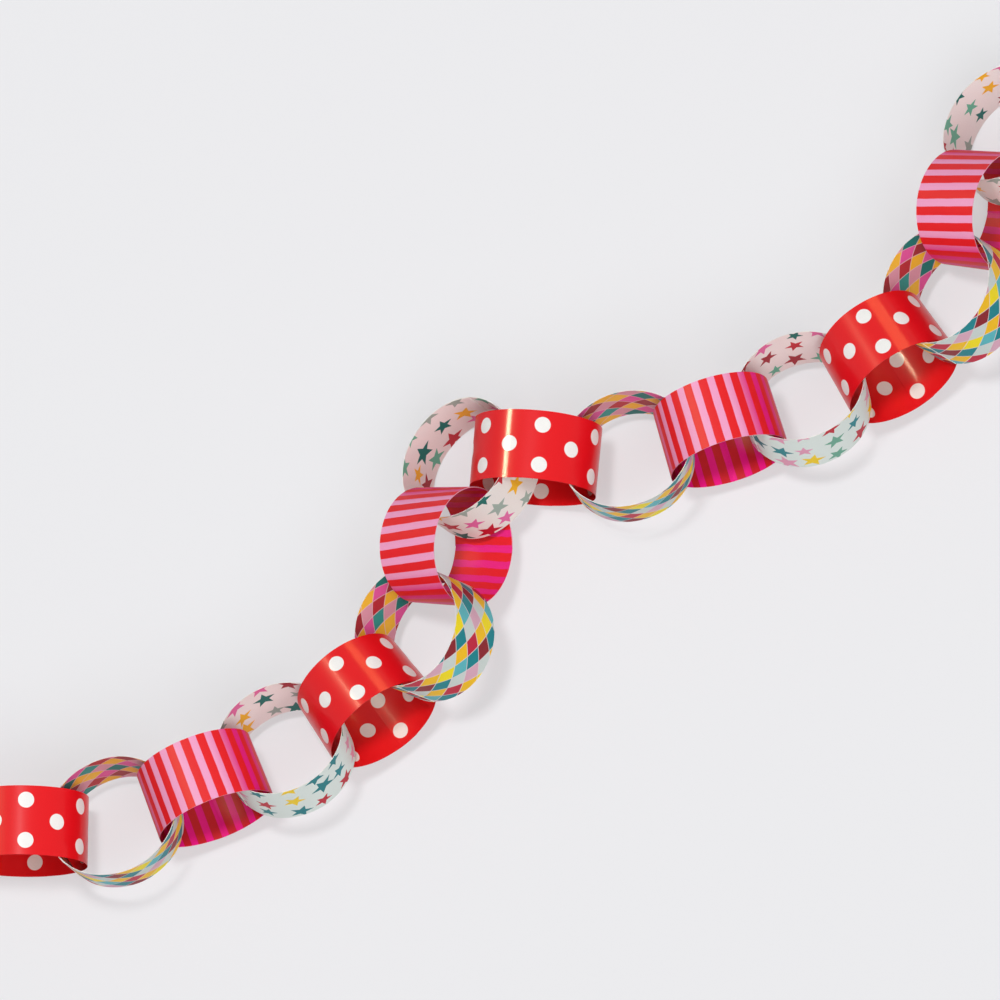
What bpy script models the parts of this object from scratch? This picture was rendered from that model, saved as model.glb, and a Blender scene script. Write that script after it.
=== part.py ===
"""Paper chain garland of sixteen printed card links, lying in a loose diagonal run on a table.

Every link is one straight strip of card, passed through the link before it, rolled into a ring and
glued where its two ends lap. Links take turns at lying on their curved side and standing on their
rim, and all of them lean over the same way. Metres, +Z up, origin under the middle of the run.
"""
import math

import bmesh
import bpy
from mathutils import Vector
from mathutils.bvhtree import BVHTree

# The strip that each link is made from
STRIP_LENGTH = 0.200
STRIP_WIDTH = 0.035
CARD = 0.0003
LAP = 0.010
LAP_RAMP = 0.006

# Two links that touch keep this much air between their faces
CLEARANCE = 0.0003

# How finely a ring is faceted, and how finely and how far its resting height is searched for
RING_STEPS = 60
SETTLE_STEP = 0.0002
SETTLE_REACH = 0.010
WELD = 0.000001

# A link can only meet the links up to two places before it and behind it
NEIGHBOURS = 2

# The run has two like halves. The second is turned, and linked into the first with this bearing,
# play and rise
HALVES = 2
HALF_TURN = -5.0
HALF_JOIN = (8.9, 0.0177, 0.0093)

LYING = "lying on its curved side"
STANDING = "standing on its rim"

# One row for each link of a half. Angles are in degrees.
# print, how it rests, heading, lean, stretch along the run, flare of the upper rim, place of the
# lap, and then bearing from, play in and rise above the link before it. Play is how far two links
# are pushed together from where their strips would pull snug.
LINKS = [
    ("dots", LYING, -0.4, 13.1, 0.045, -0.007, -90.0, 0.0, 0.0, 0.0),
    ("harlequin", STANDING, 29.9, 17.4, 0.064, 0.062, 180.0, 4.9, 0.0035, 0.0055),
    ("stripes", LYING, 21.7, 19.6, -0.009, 0.020, -90.0, 22.3, 0.0024, 0.0004),
    ("stars", STANDING, 26.3, 25.8, 0.055, 0.026, 180.0, 24.4, 0.0051, -0.0011),
    ("dots", LYING, 37.0, 27.3, -0.022, 0.062, -90.0, 33.2, 0.0027, -0.0026),
    ("harlequin", STANDING, 66.3, 36.2, 0.011, 0.002, 180.0, 48.0, 0.0048, 0.0085),
    ("stripes", LYING, 88.3, 37.4, -0.036, 0.037, -90.0, 76.5, 0.0040, -0.0077),
    ("stars", STANDING, 55.5, 32.1, 0.078, -0.009, 30.0, 71.8, 0.0084, -0.0104),
]

# Colour and roughness of each print's card
FINISHES = {
    "dots": ((0.84, 0.012, 0.018, 1.0), 0.25),
    "harlequin": ((0.45, 0.35, 0.10, 1.0), 0.50),
    "stripes": ((0.85, 0.10, 0.22, 1.0), 0.45),
    "stars": ((0.80, 0.82, 0.78, 1.0), 0.50),
}


def clear_scene():
    """Remove what the file opens with."""
    for item in list(bpy.data.objects):
        bpy.data.objects.remove(item, do_unlink=True)


def make_card(name):
    """The printed card of one pattern."""
    colour, roughness = FINISHES[name]
    material = bpy.data.materials.new(name + "_card")
    material.use_nodes = True
    shader = material.node_tree.nodes["Principled BSDF"]
    shader.inputs["Base Color"].default_value = colour
    shader.inputs["Roughness"].default_value = roughness
    shader.inputs["Metallic"].default_value = 0.0
    return material


def half_axes(stretch):
    """Half the length and half the width of the oval that a glued strip goes round once."""
    around = STRIP_LENGTH - LAP
    mean = around / (math.pi * (6.0 - math.sqrt(16.0 - 4.0 * stretch ** 2)))
    return mean * (1.0 + stretch), mean * (1.0 - stretch)


def oval_point(stretch, angle, offset):
    """A point of the oval at an angle, moved out along the oval's normal."""
    half_length, half_width = half_axes(stretch)
    point = Vector((half_length * math.cos(angle), half_width * math.sin(angle), 0.0))
    normal = Vector((half_width * math.cos(angle), half_length * math.sin(angle), 0.0))
    return point + normal.normalized() * offset


def outlines(stretch, lap_angle, air):
    """Outer and inner outline of a rolled strip, whose last stretch climbs onto its first.

    Angles are counted from the strip's inner end. Each outline goes round once and closes with a
    step as high as the card: the outer one at the strip's outer end, the inner one at its inner end.
    """
    full_turn = 2.0 * math.pi
    lap_turn = full_turn * LAP / (STRIP_LENGTH - LAP)
    ramp_turn = full_turn * LAP_RAMP / (STRIP_LENGTH - LAP)
    outer = []
    inner = []
    for step in range(RING_STEPS + 1):
        turn = full_turn * step / RING_STEPS
        climb = min(1.0, max(0.0, 1.0 + (turn - full_turn) / ramp_turn))
        inner.append(oval_point(stretch, lap_angle + turn, CARD * climb - air))
        turn += lap_turn
        climb = min(1.0, max(0.0, 1.0 + (turn - full_turn) / ramp_turn))
        outer.append(oval_point(stretch, lap_angle + turn, CARD * (1.0 + climb) + air))
    return outer, inner


def ring_mesh(name, stretch, flare, lap_angle, air=0.0):
    """The closed solid of one glued ring, its axis along Z, grown all round by some air."""
    curve = bpy.data.curves.new(name, "CURVE")
    curve.dimensions = "2D"
    curve.fill_mode = "BOTH"
    curve.extrude = STRIP_WIDTH / 2.0 + air
    for outline in outlines(stretch, lap_angle, air):
        spline = curve.splines.new("POLY")
        spline.points.add(len(outline) - 1)
        for point, place in zip(spline.points, outline):
            point.co = (place.x, place.y, 0.0, 1.0)
        spline.use_cyclic_u = True
    shape = bpy.data.objects.new(name, curve)
    bpy.context.scene.collection.objects.link(shape)
    mesh = bpy.data.meshes.new_from_object(shape.evaluated_get(bpy.context.evaluated_depsgraph_get()))
    bpy.data.objects.remove(shape)

    solid = bmesh.new()
    solid.from_mesh(mesh)
    bmesh.ops.remove_doubles(solid, verts=solid.verts, dist=WELD)
    for vertex in solid.verts:
        widen = 1.0 + flare * vertex.co.z / STRIP_WIDTH
        vertex.co.x *= widen
        vertex.co.y *= widen
    bmesh.ops.recalc_face_normals(solid, faces=solid.faces)
    solid.to_mesh(mesh)
    solid.free()
    return mesh


def hold_length(stretch):
    """How far from a ring's centre it holds a strip that is laid square across its end, inside."""
    half_length, half_width = half_axes(stretch)
    return half_length * math.sqrt(1.0 - (STRIP_WIDTH / 2.0 / half_width) ** 2)


def tilt_of(rests, lean):
    """Turn about the heading that brings the ring's axis from upright to how the link rests."""
    if rests == LYING:
        return math.radians(90.0 - lean)
    return math.radians(-lean)


class Link:
    """One glued ring, and the shapes that tell what it would touch."""

    def __init__(self, name, card, rests, heading, lean, stretch, flare, lap):
        mesh = ring_mesh(name, stretch, flare, math.radians(lap))
        mesh.materials.append(card)
        self.item = bpy.data.objects.new(name, mesh)
        self.item.rotation_euler = (tilt_of(rests, lean), 0.0, math.radians(heading))
        turn = self.item.rotation_euler.to_matrix()
        self.points = [turn @ vertex.co for vertex in mesh.vertices]
        self.faces = [tuple(face.vertices) for face in mesh.polygons]
        airy_mesh = ring_mesh(name + "_air", stretch, flare, math.radians(lap), CLEARANCE)
        self.airy_points = [turn @ vertex.co for vertex in airy_mesh.vertices]
        self.airy_faces = [tuple(face.vertices) for face in airy_mesh.polygons]
        bpy.data.meshes.remove(airy_mesh)
        self.drop = -min(point.z for point in self.points)

    def put(self, place):
        """Put the link's centre at a place."""
        self.item.location = place
        self.tree = BVHTree.FromPolygons([point + place for point in self.points], self.faces)

    def clears(self, place, others):
        """Whether the link, at a place, leaves air between itself and other links."""
        airy = BVHTree.FromPolygons([point + place for point in self.airy_points], self.airy_faces)
        return not any(airy.overlap(other.tree) for other in others)


def nearest_clear(link, place, others):
    """The place straight above or below the wanted one, and nearest it, that clears the others."""
    for step in range(int(SETTLE_REACH / SETTLE_STEP)):
        for way in (SETTLE_STEP, -SETTLE_STEP):
            trial = place + Vector((0.0, 0.0, way * step))
            if link.clears(trial, others):
                return trial
    return place


def lay_run(garland, cards):
    """Make the links, each linked through the one before it."""
    links = []
    place = Vector((0.0, 0.0, 0.0))
    hold_before = 0.0
    for half in range(HALVES):
        turn = half * HALF_TURN
        for row, (pattern, rests, heading, lean, stretch, flare, lap, *step) in enumerate(LINKS):
            bearing, play, rise = step
            bearing += turn
            if half and row == 0:
                bearing, play, rise = HALF_JOIN
            hold = hold_length(stretch)
            name = f"link_{len(links) + 1:02d}_{pattern}"
            link = Link(name, cards[pattern], rests, heading + turn, lean, stretch, flare, lap)
            garland.objects.link(link.item)
            if links:
                pitch = hold_before + hold - play
                course = math.radians(bearing)
                place = place + Vector((pitch * math.cos(course), pitch * math.sin(course), rise))
                place = nearest_clear(link, place, links[-NEIGHBOURS:])
            link.put(place)
            links.append(link)
            hold_before = hold
    return links


def settle(links):
    """Bring the run down onto the table, and then each link onto the table or its neighbours."""
    fall = min(link.item.location.z - link.drop for link in links)
    for link in links:
        link.put(link.item.location - Vector((0.0, 0.0, fall)))
    down = Vector((0.0, 0.0, SETTLE_STEP))
    moved = True
    while moved:
        moved = False
        for number, link in enumerate(links):
            others = links[max(0, number - NEIGHBOURS):number] + links[number + 1:number + 1 + NEIGHBOURS]
            place = link.item.location - down
            if place.z > link.drop and link.clears(place, others):
                link.put(place)
                moved = True


def centre_run(links):
    """Move the whole run so that the origin is on the table under the middle of its box."""
    corners = [point + link.item.location for link in links for point in link.points]
    lowest = Vector(min(corner[axis] for corner in corners) for axis in range(3))
    highest = Vector(max(corner[axis] for corner in corners) for axis in range(3))
    middle = (lowest + highest) / 2.0
    for link in links:
        link.item.location -= Vector((middle.x, middle.y, lowest.z))


clear_scene()
garland = bpy.data.collections.new("paper_chain_garland")
bpy.context.scene.collection.children.link(garland)
cards = {name: make_card(name) for name in FINISHES}
run = lay_run(garland, cards)
settle(run)
centre_run(run)
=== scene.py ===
"""Looks of a paper chain garland: printed card links, a plain table and studio light.

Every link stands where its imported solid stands. Metres, +Z up, and +Y is up in the picture.
"""
import math

import bpy
import numpy as np
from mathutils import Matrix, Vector


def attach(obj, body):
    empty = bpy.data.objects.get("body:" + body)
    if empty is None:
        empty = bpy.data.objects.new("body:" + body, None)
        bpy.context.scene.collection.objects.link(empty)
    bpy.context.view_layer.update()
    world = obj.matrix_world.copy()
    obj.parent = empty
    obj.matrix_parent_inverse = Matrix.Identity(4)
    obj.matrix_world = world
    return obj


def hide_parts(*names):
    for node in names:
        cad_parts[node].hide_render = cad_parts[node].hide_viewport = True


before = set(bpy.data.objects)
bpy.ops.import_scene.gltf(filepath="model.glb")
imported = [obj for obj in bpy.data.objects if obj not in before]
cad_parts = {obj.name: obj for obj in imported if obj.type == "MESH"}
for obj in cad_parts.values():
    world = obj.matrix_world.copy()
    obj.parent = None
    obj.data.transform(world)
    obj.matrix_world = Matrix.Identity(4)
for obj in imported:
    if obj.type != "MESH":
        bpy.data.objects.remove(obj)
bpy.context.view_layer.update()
bpy.ops.object.select_all(action="DESELECT")


# Links printed with white dots on red. Each is one strip of glossy printed card, about 0.3 mm
# thick, cut from a larger sheet, rolled into a ring and glued where its ends lap.

STRIP_WIDTH = 0.035
WELD = 0.00001
CUTS_ACROSS = 7
SHARP_EDGE = math.radians(35.0)

# The ripple: its height, how many slow and quick waves go round a ring, and the quick ones' share
RIPPLE_HEIGHT = 0.00010
SLOW_WAVES = 3.0
QUICK_WAVES = 7.0
QUICK_SHARE = 0.6

# An edge at least this long runs across the strip from rim to rim
LEAST_SPAN = 0.8 * STRIP_WIDTH

# Faces of a strip, in the order of its materials
FRONT, BACK, CUT_EDGE = range(3)

# How squarely a face looks outwards or inwards to be a printed one, and how squarely a cut edge
# looks along the ring's axis to be a rim
PRINT_FACING = 0.7
RIM_FACING = 0.5

# How near the middle of the strip the length round it is measured, at how many places, and the
# least sine of half the turn between two faces that belong to different steps of the lap
MID_LINE = 0.001
ROUND_PLACES = 241
STEPS_APART = 0.05


def linear(colour):
    """A colour written as sRGB hex, as the linear colour that Blender's sockets take."""
    parts = [int(colour[place:place + 2], 16) / 255.0 for place in (1, 3, 5)]
    shares = [part / 12.92 if part <= 0.04045 else ((part + 0.055) / 1.055) ** 2.4 for part in parts]
    return shares + [1.0]


def add_node(tree, kind, inputs=None, **settings):
    """Add a node with its settings, fill or link its inputs, and give its first live output."""
    made = tree.nodes.new(kind)
    for name, value in settings.items():
        setattr(made, name, value)
    for place, value in (inputs or {}).items():
        if isinstance(value, bpy.types.NodeSocket):
            tree.links.new(value, made.inputs[place])
        else:
            made.inputs[place].default_value = value
    return next((output for output in made.outputs if output.enabled), None)


def ring_frame(mesh):
    """Centre of a ring, the way its axis points up, and the level way across it."""
    places = [vertex.co for vertex in mesh.vertices]
    centre = sum(places, Vector()) / len(places)
    axis = Vector()
    for edge in mesh.edges:
        span = places[edge.vertices[1]] - places[edge.vertices[0]]
        if span.length > LEAST_SPAN:
            axis += span if span.z > 0.0 else -span
    axis.normalize()
    level = Vector((0.0, 0.0, 1.0)).cross(axis).normalized()
    return centre, axis, level


def borders(mesh):
    """Edges between faces of different materials."""
    kinds = {}
    for face in mesh.polygons:
        for key in face.edge_keys:
            kinds.setdefault(key, set()).add(face.material_index)
    return [edge for edge in mesh.edges if len(kinds[edge.key]) > 1]


def rolled_strip(number, pattern, print_at, slant=0.0):
    """A link's strip: a copy of its solid, cut finer across, with a faint ripple in the card.

    Print_at says how far along the sheet its front and its back were printed, in millimetres, and
    slant how far the front's print slants across the strip.
    """
    node = f"link_{number:02d}_{pattern}"
    strip = bpy.data.objects.new(f"strip_{number:02d}_{pattern}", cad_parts[node].data.copy())
    bpy.context.scene.collection.objects.link(strip)
    strip.data.materials.clear()
    bpy.ops.object.select_all(action="DESELECT")
    strip.select_set(True)
    bpy.context.view_layer.objects.active = strip
    bpy.ops.object.mode_set(mode="EDIT")
    bpy.ops.mesh.select_mode(type="EDGE")
    bpy.ops.mesh.select_all(action="SELECT")
    bpy.ops.mesh.remove_doubles(threshold=WELD)
    bpy.ops.mesh.tris_convert_to_quads()
    bpy.ops.mesh.select_all(action="DESELECT")
    bpy.ops.object.mode_set(mode="OBJECT")

    centre, axis, level = ring_frame(strip.data)
    sort_faces(strip.data, centre, axis)
    places = [vertex.co for vertex in strip.data.vertices]
    for edge in strip.data.edges:
        span = places[edge.vertices[1]] - places[edge.vertices[0]]
        edge.select = span.length > LEAST_SPAN
    bpy.ops.object.mode_set(mode="EDIT")
    bpy.ops.mesh.subdivide(number_cuts=CUTS_ACROSS)
    bpy.ops.mesh.select_all(action="DESELECT")
    bpy.ops.mesh.edges_select_sharp(sharpness=SHARP_EDGE)
    bpy.ops.object.mode_set(mode="OBJECT")
    for edge in borders(strip.data):
        edge.select = True
    bpy.ops.object.mode_set(mode="EDIT")
    bpy.ops.transform.edge_crease(value=1.0)
    bpy.ops.object.mode_set(mode="OBJECT")

    side = axis.cross(level)
    for vertex in strip.data.vertices:
        arm = vertex.co - centre
        turn = math.atan2(arm.dot(side), arm.dot(level))
        across = arm.dot(axis) / STRIP_WIDTH
        slow = math.sin(SLOW_WAVES * turn + number) * across
        quick = math.sin(QUICK_WAVES * turn + 2.0 * number) * QUICK_SHARE
        vertex.co += (arm - axis * arm.dot(axis)).normalized() * (slow + quick) * RIPPLE_HEIGHT

    smooth = strip.modifiers.new("smooth", "SUBSURF")
    smooth.levels = 1
    smooth.render_levels = 1
    bpy.ops.object.modifier_apply(modifier=smooth.name)
    bpy.ops.object.shade_smooth_by_angle(angle=SHARP_EDGE)
    for edge in borders(strip.data):
        edge.use_edge_sharp = True
    unroll(strip.data, centre, axis, level, print_at, slant)
    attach(strip, "root")
    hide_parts(node)
    return strip


def sort_faces(mesh, centre, axis):
    """Give each face of a ring its material: printed front, printed back, or cut edge."""
    for face in mesh.polygons:
        arm = face.center - centre
        outwards = (arm - axis * arm.dot(axis)).normalized().dot(face.normal)
        if outwards > PRINT_FACING:
            face.material_index = FRONT
        elif outwards < -PRINT_FACING:
            face.material_index = BACK
        else:
            face.material_index = CUT_EDGE


def unroll(mesh, centre, axis, level, print_at, slant):
    """Write a UV map in millimetres: along the strip from half way round, and across it."""
    side = axis.cross(level)
    places = np.array([vertex.co for vertex in mesh.vertices]) - np.array(centre)
    middles = np.array([face.center for face in mesh.polygons]) - np.array(centre)
    kinds = np.array([face.material_index for face in mesh.polygons])
    normals = np.array([face.normal for face in mesh.polygons])

    # The lap's two steps are the cut edges that face along the strip. The inner one starts it, and
    # the outer one lies less than half a turn further on
    turns = np.arctan2(middles @ side, middles @ level)
    steps = turns[(kinds == CUT_EDGE) & (np.abs(normals @ axis) < RIM_FACING)]
    ahead = (steps - steps[0]) % (2.0 * math.pi)
    other = ahead[np.sin(ahead / 2.0) > STEPS_APART][0]
    start = steps[0] if other < math.pi else steps[0] + other
    outer_end = min(other, 2.0 * math.pi - other)

    # Length round the ring from the inner step, measured along the middle of the printed front
    fronts = [face for face in mesh.polygons if face.material_index == FRONT]
    front_points = {point for face in fronts for point in face.vertices}
    mid_points = [point for point in front_points if abs(places[point] @ axis) < MID_LINE]
    turn_of_points = (np.arctan2(places @ side, places @ level) - start) % (2.0 * math.pi)
    order = sorted(mid_points, key=lambda point: turn_of_points[point])
    rounds = np.linspace(0.0, 2.0 * math.pi, ROUND_PLACES)
    reach = np.interp(
        rounds,
        turn_of_points[order],
        np.hypot(places[order] @ side, places[order] @ level),
        period=2.0 * math.pi,
    )
    rim = np.stack([reach * np.cos(rounds), reach * np.sin(rounds)], 1)
    length = np.concatenate([[0.0], np.cumsum(np.linalg.norm(np.diff(rim, axis=0), axis=1))])

    layer = mesh.uv_layers.new(name="strip_mm")
    for face in mesh.polygons:
        middle = (turns[face.index] - start) % (2.0 * math.pi)
        on_back = face.material_index == BACK
        for corner, point in zip(face.loop_indices, face.vertices):
            turn = middle + (turn_of_points[point] - middle + math.pi) % (2.0 * math.pi) - math.pi
            whole_rounds, part_round = divmod(turn, 2.0 * math.pi)
            along = np.interp(part_round, rounds, length) + length[-1] * whole_rounds
            if face.material_index == FRONT and middle < outer_end:
                along += length[-1]
            along = 1000.0 * (along - length[-1] / 2.0) + print_at[on_back]
            across = 1000.0 * places[point] @ axis
            layer.data[corner].uv = (along + (0.0 if on_back else slant * across), across)


def start_card(name):
    """A new card material, its nodes, and the place along and across the strip in millimetres."""
    material = bpy.data.materials.new(name)
    material.use_nodes = True
    tree = material.node_tree
    tree.nodes.clear()
    flat = add_node(tree, "ShaderNodeUVMap", uv_map="strip_mm")
    along = add_node(tree, "ShaderNodeSeparateXYZ", {0: flat})
    return material, tree, flat, along, along.node.outputs[1]


def finish_card(tree, colour, roughness, specular, coat):
    """Give a card its surface: the print, a little uneven on the paper's fibres, and its varnish."""
    flat = tree.nodes["UV Map"].outputs[0]
    fibres = add_node(tree, "ShaderNodeTexNoise", {"Vector": flat, "Scale": 1.0 / GRAIN, "Detail": 3.0})
    mottle = add_node(
        tree,
        "ShaderNodeMapRange",
        {0: fibres, 1: FIBRE_RANGE[0], 2: FIBRE_RANGE[1], 3: MOTTLE, 4: 1.0},
    )
    uneven = add_node(tree, "ShaderNodeVectorMath", {0: colour, "Scale": mottle}, operation="SCALE")
    grain = add_node(
        tree,
        "ShaderNodeBump",
        {"Height": fibres, "Strength": FIBRE_BUMP, "Distance": FIBRE_HEIGHT},
    )
    surface = add_node(
        tree,
        "ShaderNodeBsdfPrincipled",
        {
            "Base Color": uneven,
            "Roughness": roughness,
            "Specular IOR Level": specular,
            "Coat Weight": coat,
            "Coat Roughness": COAT_ROUGHNESS,
            "Normal": grain,
        },
    )
    add_node(tree, "ShaderNodeOutputMaterial", {"Surface": surface})


def print_over(tree, mask, ground, ink):
    """Print an ink over a ground where the mask is one."""
    mixed = add_node(tree, "ShaderNodeMix", {0: mask, 6: ground, 7: ink}, data_type="RGBA")
    return mixed.node.outputs[2]


def cut_edge(name, ink):
    """The card's core where the strip is cut, tinted by the ink that the cut has dragged over it."""
    material, tree, flat, *_ = start_card(name)
    fibres = add_node(tree, "ShaderNodeTexNoise", {"Vector": flat, "Scale": 1.0 / GRAIN, "Detail": 4.0})
    core = print_over(tree, fibres, linear(ink[0]), linear(ink[1]))
    finish_card(tree, core, CUT_ROUGHNESS, CUT_SPECULAR, 0.0)
    return material


# The paper: its fibres' size in millimetres, drawn coarse enough to show, how far the noise that
# stands for them swings, and how much it darkens and lifts the card
GRAIN = 0.5
FIBRE_RANGE = (0.3, 0.7)
MOTTLE = 0.94
FIBRE_BUMP = 0.15
FIBRE_HEIGHT = 0.0001
CUT_ROUGHNESS = 0.85
CUT_SPECULAR = 0.2
COAT_ROUGHNESS = 0.12

# The dots in millimetres: a soft edge, their radius, the way from a column to the next, and how far
# from the middle of the strip the two of a pair stand
EDGE_BLUR = 0.12
DOT_RADIUS = 4.0
DOT_COLUMNS = 16.2
DOT_PAIR = 10.2
GLOSS_SPECULAR = 0.12


def dotted_card(name, ground, ink, roughness, coat):
    """Columns of round dots, in turn two dots and one, on a plain ground."""
    material, tree, flat, along, across = start_card(name)
    from_pair = add_node(tree, "ShaderNodeMath", {0: along, 1: DOT_COLUMNS}, operation="PINGPONG")
    from_single = add_node(tree, "ShaderNodeMath", {0: DOT_COLUMNS, 1: from_pair}, operation="SUBTRACT")
    half = add_node(tree, "ShaderNodeMath", {0: across}, operation="ABSOLUTE")
    off_pair = add_node(tree, "ShaderNodeMath", {0: half, 1: DOT_PAIR}, operation="SUBTRACT")
    pair = add_node(tree, "ShaderNodeCombineXYZ", {0: from_pair, 1: off_pair})
    single = add_node(tree, "ShaderNodeCombineXYZ", {0: from_single, 1: across})
    to_pair = add_node(tree, "ShaderNodeVectorMath", {0: pair}, operation="LENGTH")
    to_single = add_node(tree, "ShaderNodeVectorMath", {0: single}, operation="LENGTH")
    to_dot = add_node(tree, "ShaderNodeMath", {0: to_pair, 1: to_single}, operation="MINIMUM")
    mask = add_node(
        tree,
        "ShaderNodeMapRange",
        {0: to_dot, 1: DOT_RADIUS + EDGE_BLUR, 2: DOT_RADIUS - EDGE_BLUR, 3: 0.0, 4: 1.0},
    )
    colour = print_over(tree, mask, linear(ground), linear(ink))
    finish_card(tree, colour, roughness, GLOSS_SPECULAR, coat)
    return material


# Varnished card: clean saturated red, with a narrow bright streak where it bends away
gloss_front = dotted_card("gloss_card_front", "#ED121B", "#FBF9F6", 0.34, 0.28)
# The same card's inside, with less varnish
gloss_back = dotted_card("gloss_card_back", "#E8141A", "#F6E8E1", 0.40, 0.18)
# Its cut edge, where the red ink has run into the core
gloss_edge = cut_edge("gloss_card_edge", ("#E23A3C", "#C81E24"))

# How far along the sheet each strip's front and back were printed
DOTS_AT = {1: (1.7, -5.7), 5: (-0.4, -5.7), 9: (1.7, -5.7), 13: (-0.4, -5.7)}

for number, print_at in DOTS_AT.items():
    strip = rolled_strip(number, "dots", print_at)
    for card in (gloss_front, gloss_back, gloss_edge):
        strip.data.materials.append(card)


# Links printed with pink and red stripes across the strip. Each is one strip of satin card, its front
# red and soft pink, the pink turning hot towards the ends as painted shade, and its back red and
# magenta, partly print and partly painted shade, rolled and glued as the others.

# In millimetres: a red and a pink stripe together, half a red one, and from where to where the pink
# turns hot as painted shade, counted from half way along the strip. Then how often the print sways in
# a millimetre
STRIPE_PITCH = 8.35
HALF_RED = 2.25
SHADE_FROM = 20.0
SHADE_TO = 33.0
SWAY_SCALE = 0.12

SATIN_ROUGHNESS = 0.45
SOFT_SPECULAR = 0.25


def striped_card(name, red, pink, shaded_pink, sway):
    """Stripes of two inks in turn across the strip. The pink turns hot towards the strip's ends as
    painted shade.
    """
    material, tree, flat, along, across = start_card(name)
    waver = add_node(tree, "ShaderNodeTexNoise", {"Vector": flat, "Scale": SWAY_SCALE, "Detail": 2.0})
    swayed = add_node(tree, "ShaderNodeMath", {0: waver, 1: sway, 2: along}, operation="MULTIPLY_ADD")
    step = add_node(tree, "ShaderNodeMath", {0: swayed, 1: STRIPE_PITCH / 2.0}, operation="PINGPONG")
    mask = add_node(
        tree,
        "ShaderNodeMapRange",
        {0: step, 1: HALF_RED - EDGE_BLUR, 2: HALF_RED + EDGE_BLUR, 3: 0.0, 4: 1.0},
    )
    from_middle = add_node(tree, "ShaderNodeMath", {0: along}, operation="ABSOLUTE")
    # Painted shade: the pink turns hot towards both ends of the strip
    painted_shade = add_node(
        tree, "ShaderNodeMapRange", {0: from_middle, 1: SHADE_FROM, 2: SHADE_TO, 3: 0.0, 4: 1.0}
    )
    pinks = print_over(tree, painted_shade, linear(pink), linear(shaded_pink))
    colour = print_over(tree, mask, linear(red), pinks)
    finish_card(tree, colour, SATIN_ROUGHNESS, SOFT_SPECULAR, 0.0)
    return material


# Satin card: even colour with a soft sheen and no streak, except that its pink turns hot towards the
# strip's ends as painted shade
satin_front = striped_card("satin_card_front", "#ED1C24", "#F9A6CE", "#EE1F86", 0.4)
# Its inside: a darker red and magenta, partly the print and partly painted shade
satin_back = striped_card("satin_card_back", "#D01C28", "#F5128A", "#F5128A", 0.4)
# The same card's inside printed unevenly in a brighter red, its magenta partly painted shade too
satin_bright_back = striped_card("satin_card_bright_back", "#F0222C", "#F4288C", "#F4288C", 1.6)
# Its cut edge: thin, pale and pink
satin_edge = cut_edge("satin_card_edge", ("#F7C3D6", "#F0A9C0"))

# Where each strip was printed, how much its front slants, and its back
STRIPES_AT = {
    3: ((-8.9, 0.0), 0.0, satin_back),
    7: ((5.05, 0.0), 0.15, satin_bright_back),
    11: ((-10.65, 0.0), 0.0, satin_back),
    15: ((4.6, 0.0), 0.08, satin_bright_back),
}

for number, (print_at, slant, back) in STRIPES_AT.items():
    strip = rolled_strip(number, "stripes", print_at, slant)
    for card in (satin_front, back, satin_edge):
        strip.data.materials.append(card)


# Links printed with lozenges in many colours, parted by thin pale lines. Each is one strip of
# matt card with the lozenges standing across it, three or four to its width, on both sides.

# In millimetres: a lozenge along and across the strip, and half the line between two. Then the
# share of that half over which the line fades on either side of its edge
LOZENGE_ALONG = 13.5
LOZENGE_ACROSS = 10.3
HALF_LINE = 0.2
LINE_FADE = 0.4
MATT_ROUGHNESS = 0.5

# The print repeats after so many lozenges, and moves on by so many inks from one to the next, so
# that no two that touch are alike
REPEAT = 11.0
ROW_STEP = 2.0
COLUMN_STEP = 5.0
DEAL_START = 0.3


def deal_inks(tree, pick, inks):
    """One of several inks, picked by a number from nought to one."""
    dealt = add_node(tree, "ShaderNodeValToRGB", {0: pick})
    ramp = dealt.node.color_ramp
    ramp.interpolation = "CONSTANT"
    ramp.elements[0].color = linear(inks[0])
    ramp.elements[1].position = 1.0 / len(inks)
    ramp.elements[1].color = linear(inks[1])
    for place, ink in enumerate(inks[2:], start=2):
        ramp.elements.new(place / len(inks)).color = linear(ink)
    return dealt


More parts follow.
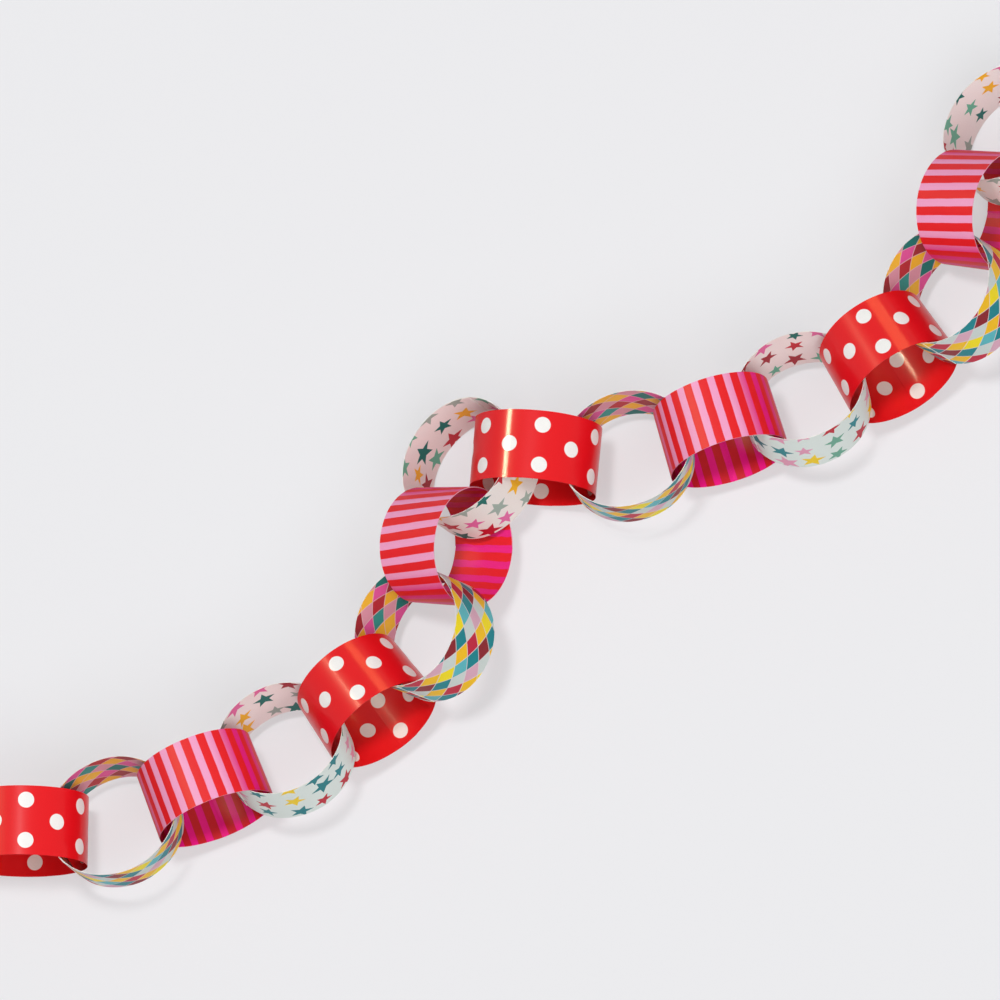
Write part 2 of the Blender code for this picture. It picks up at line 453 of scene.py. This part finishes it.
def lozenge_card(name, inks, line_ink):
    """Lozenges whose inks are dealt out in turn, with a thin line round each."""
    material, tree, flat, along, across = start_card(name)
    run = add_node(tree, "ShaderNodeMath", {0: along, 1: LOZENGE_ALONG}, operation="DIVIDE")
    climb = add_node(tree, "ShaderNodeMath", {0: across, 1: LOZENGE_ACROSS}, operation="DIVIDE")
    rising = add_node(tree, "ShaderNodeMath", {0: run, 1: climb}, operation="ADD")
    falling = add_node(tree, "ShaderNodeMath", {0: run, 1: climb}, operation="SUBTRACT")
    row = add_node(tree, "ShaderNodeMath", {0: rising}, operation="FLOOR")
    column = add_node(tree, "ShaderNodeMath", {0: falling}, operation="FLOOR")
    by_row = add_node(
        tree,
        "ShaderNodeMath",
        {0: row, 1: ROW_STEP / REPEAT, 2: DEAL_START / REPEAT},
        operation="MULTIPLY_ADD",
    )
    by_both = add_node(
        tree,
        "ShaderNodeMath",
        {0: column, 1: COLUMN_STEP / REPEAT, 2: by_row},
        operation="MULTIPLY_ADD",
    )
    deal = add_node(tree, "ShaderNodeMath", {0: by_both}, operation="FRACT")
    to_rising = add_node(tree, "ShaderNodeMath", {0: rising, 1: 0.5}, operation="PINGPONG")
    to_falling = add_node(tree, "ShaderNodeMath", {0: falling, 1: 0.5}, operation="PINGPONG")
    to_line = add_node(tree, "ShaderNodeMath", {0: to_rising, 1: to_falling}, operation="MINIMUM")
    line = HALF_LINE / (LOZENGE_ALONG * LOZENGE_ACROSS / math.hypot(LOZENGE_ALONG, LOZENGE_ACROSS))
    mask = add_node(
        tree,
        "ShaderNodeMapRange",
        {0: to_line, 1: line * (1.0 + LINE_FADE), 2: line * (1.0 - LINE_FADE), 3: 0.0, 4: 1.0},
    )
    colour = print_over(tree, mask, deal_inks(tree, deal, inks), linear(line_ink))
    finish_card(tree, colour, MATT_ROUGHNESS, SOFT_SPECULAR, 0.0)
    return material


# Matt card: flat bright colours with hardly any sheen
matt_front = lozenge_card(
    "matt_card_front",
    ("#00868F", "#FFE600", "#C8163A", "#D4DDD9", "#8E1420", "#5CBCC4", "#FFC60A", "#E2AEC2"),
    "#EBDCDE",
)
# The same card's inside, in warmer and darker inks with a pinker line: partly its own print, partly
# painted shade and painted reflected red light
matt_back = lozenge_card(
    "matt_card_back",
    ("#FFC21E", "#C01E2A", "#007A72", "#E6A0B2", "#A81A26", "#2E9A90", "#EE58A6", "#FFC832"),
    "#F2CDD0",
)
# Its cut edge: the white core
matt_edge = cut_edge("matt_card_edge", ("#F8F6F2", "#E9E4DC"))

# How far along the sheet each strip's front and back were printed
LOZENGES_AT = {2: (0.0, 0.0), 6: (225.0, 118.0), 10: (451.0, 330.0), 14: (734.0, 560.0)}

for number, print_at in LOZENGES_AT.items():
    strip = rolled_strip(number, "harlequin", print_at)
    for card in (matt_front, matt_back, matt_edge):
        strip.data.materials.append(card)


# Links printed with scattered five-pointed stars. Each is one strip of matt card, mint white on
# its front and blush on its back, with stars of several sizes and inks.

# In millimetres: from a star to the next, and the least and greatest reach of its points. Then how
# far stars stray from even rows, and how deep the valleys between points go, as a share of the reach
STAR_PITCH = 14.5
STAR_SIZES = (4.6, 7.4)
STAR_SCATTER = 0.35
STAR_VALLEY = 0.42
STAR_POINTS = 5


def starry_card(name, ground, inks):
    """Stars scattered over a plain ground, each with its own size, turn and ink."""
    material, tree, flat, *_ = start_card(name)
    half_point = math.pi / STAR_POINTS
    slope = (1.0 - STAR_VALLEY * math.cos(half_point)) / (STAR_VALLEY * math.sin(half_point))
    colour = linear(ground)
    # The second nearest star is printed first, so that no star is cut off half way to the next
    for nearness in ("F2", "F1"):
        cell = add_node(
            tree,
            "ShaderNodeTexVoronoi",
            {"Vector": flat, "Scale": 1.0 / STAR_PITCH, "Randomness": STAR_SCATTER},
            voronoi_dimensions="2D",
            feature=nearness,
        ).node
        size = add_node(tree, "ShaderNodeSeparateColor", {0: cell.outputs["Color"]})
        turn, pick = size.node.outputs[1:]
        arm = add_node(
            tree, "ShaderNodeVectorMath", {0: flat, 1: cell.outputs["Position"]}, operation="SUBTRACT"
        )
        reach = add_node(tree, "ShaderNodeVectorMath", {0: arm}, operation="LENGTH")
        right = add_node(tree, "ShaderNodeSeparateXYZ", {0: arm})
        up = right.node.outputs[1]
        bearing = add_node(tree, "ShaderNodeMath", {0: up, 1: right}, operation="ARCTAN2")
        turned = add_node(
            tree, "ShaderNodeMath", {0: turn, 1: 2.0 * math.pi, 2: bearing}, operation="MULTIPLY_ADD"
        )
        from_tip = add_node(tree, "ShaderNodeMath", {0: turned, 1: half_point}, operation="PINGPONG")
        cosine = add_node(tree, "ShaderNodeMath", {0: from_tip}, operation="COSINE")
        sine = add_node(tree, "ShaderNodeMath", {0: from_tip}, operation="SINE")
        steep = add_node(tree, "ShaderNodeMath", {0: sine, 1: slope, 2: cosine}, operation="MULTIPLY_ADD")
        star_reach = add_node(tree, "ShaderNodeMath", {0: reach, 1: steep}, operation="MULTIPLY")
        star_size = add_node(
            tree, "ShaderNodeMapRange", {0: size, 1: 0.0, 2: 1.0, 3: STAR_SIZES[0], 4: STAR_SIZES[1]}
        )
        inside = add_node(tree, "ShaderNodeMath", {0: star_size, 1: star_reach}, operation="SUBTRACT")
        mask = add_node(
            tree, "ShaderNodeMapRange", {0: inside, 1: -EDGE_BLUR, 2: EDGE_BLUR, 3: 0.0, 4: 1.0}
        )
        colour = print_over(tree, mask, colour, deal_inks(tree, pick, inks))
    finish_card(tree, colour, MATT_ROUGHNESS, SOFT_SPECULAR, 0.0)
    return material


# Matt card on a mint white ground: cool, clear inks
mint_front = starry_card(
    "matt_mint_card_front",
    "#EAF3EE",
    ("#C81630", "#008088", "#FFD714", "#EEA0BE", "#FFD714", "#00868F", "#6EAF96"),
)
# Matt card on a blush ground, in warmer inks: the inside of every one of these strips, and the
# outside of two of them
BLUSH_INKS = ("#FFBE14", "#C8192D", "#EB6EAA", "#006E64", "#FFBE14", "#A8192A", "#6EBEA0", "#A5B4AA")
blush_back = starry_card("matt_blush_card_back", "#FDF5F2", BLUSH_INKS)
blush_front = starry_card("matt_blush_card_front", "#F8EFEA", BLUSH_INKS)

# Where each strip was printed, and its front
STARS_AT = {
    4: ((0.0, 0.0), mint_front),
    8: ((400.0, 640.0), blush_front),
    12: ((900.0, 220.0), mint_front),
    16: ((1300.0, 410.0), blush_front),
}

for number, (print_at, front) in STARS_AT.items():
    strip = rolled_strip(number, "stars", print_at)
    for card in (front, blush_back, matt_edge):
        strip.data.materials.append(card)


# The table: a plain pale board that the garland lies on. It isn't part of the garland.

TABLE_SIZE = 12.0
TABLE_TOP = -0.0002
TABLE_COLOUR = "#EDEDEF"
TABLE_GLOW = 0.55
BOARD_ROUGHNESS = 0.9


def eye_or_gloss(tree):
    """One where the camera or a reflection looks, and nought where light is gathered."""
    path = add_node(tree, "ShaderNodeLightPath").node
    looks = {0: path.outputs["Is Camera Ray"], 1: path.outputs["Is Glossy Ray"]}
    return add_node(tree, "ShaderNodeMath", looks, operation="ADD")


bpy.ops.object.select_all(action="DESELECT")
bpy.ops.mesh.primitive_plane_add(size=TABLE_SIZE, location=(0.0, 0.0, TABLE_TOP))
table = bpy.context.object
table.name = "table"

# Matt board: an even pale grey. Seen by the eye it glows a little, which keeps it free of the
# colour that the links cast on it, and it still takes their shadow.
board = bpy.data.materials.new("matt_pale_board")
board.use_nodes = True
tree = board.node_tree
tree.nodes.clear()
share = add_node(tree, "ShaderNodeMath", {0: eye_or_gloss(tree), 1: TABLE_GLOW}, operation="MULTIPLY")
dull = {"Color": linear(TABLE_COLOUR), "Roughness": BOARD_ROUGHNESS}
matt = add_node(tree, "ShaderNodeBsdfDiffuse", dull)
glow = add_node(tree, "ShaderNodeEmission", {"Color": linear(TABLE_COLOUR), "Strength": 1.0})
lit = add_node(tree, "ShaderNodeMixShader", {0: share, 1: matt, 2: glow})
add_node(tree, "ShaderNodeOutputMaterial", {"Surface": lit})
table.data.materials.append(board)


# The camera looks straight down on the run from far off, with a long lens.

# In metres: the width of table in view and its centre, and the height of the links' middle. Then
# the lens and its sensor in millimetres, and how far the camera sees
VIEW_WIDTH = 0.500
VIEW_CENTRE = (-0.0109, -0.0122)
LINK_MIDDLE = 0.035
LENS = 400.0
SENSOR = 36.0
FARTHEST = 50.0

camera_data = bpy.data.cameras.new("camera")
camera_data.lens = LENS
camera_data.sensor_width = SENSOR
camera_data.clip_end = FARTHEST
camera = bpy.data.objects.new("camera", camera_data)
camera.location = (*VIEW_CENTRE, LINK_MIDDLE + VIEW_WIDTH * LENS / SENSOR)
bpy.context.scene.collection.objects.link(camera)
bpy.context.scene.camera = camera


# Studio light: an even room, a soft lamp high on the upper left, a wide fill opposite it, and two
# soft boxes that light nothing and show only as gloss on the card.

ROOM = 0.22
LAMP_DISTANCE = 3.0


def add_softbox(name, towards, size, power, colour, lights, mirrored):
    """A square soft box that looks at the middle of the garland from some way off."""
    light = bpy.data.lights.new(name, "AREA")
    light.shape = "SQUARE"
    light.size = size
    light.energy = power
    light.color = linear(colour)[:3]
    lamp = bpy.data.objects.new(name, light)
    direction = Vector(towards).normalized()
    lamp.location = direction * LAMP_DISTANCE
    lamp.rotation_euler = direction.to_track_quat("Z", "Y").to_euler()
    lamp.visible_camera = False
    lamp.visible_diffuse = lights
    lamp.visible_glossy = mirrored
    bpy.context.scene.collection.objects.link(lamp)


add_softbox("key_lamp", (-0.18, 0.22, 1.0), 0.36, 42.0, "#FFFFFF", True, True)
add_softbox("fill_lamp", (0.34, -0.42, 1.0), 2.6, 42.0, "#FFFFFF", True, False)
add_softbox("left_box", (-0.72, 0.42, 0.55), 0.38, 46.0, "#FFEBC0", False, True)
add_softbox("far_box", (0.04, 0.93, 0.36), 0.9, 24.0, "#FFB070", False, True)

world = bpy.data.worlds.new("room")
world.use_nodes = True
tree = world.node_tree
tree.nodes.clear()
even = add_node(tree, "ShaderNodeBackground", {"Color": linear("#FFFFFF"), "Strength": ROOM})
backdrop = add_node(tree, "ShaderNodeBackground", {"Color": linear(TABLE_COLOUR), "Strength": 1.0})
mixed = add_node(tree, "ShaderNodeMixShader", {0: eye_or_gloss(tree), 1: even, 2: backdrop})
add_node(tree, "ShaderNodeOutputWorld", {"Surface": mixed})
bpy.context.scene.world = world
bpy.context.scene.view_settings.view_transform = "Standard"
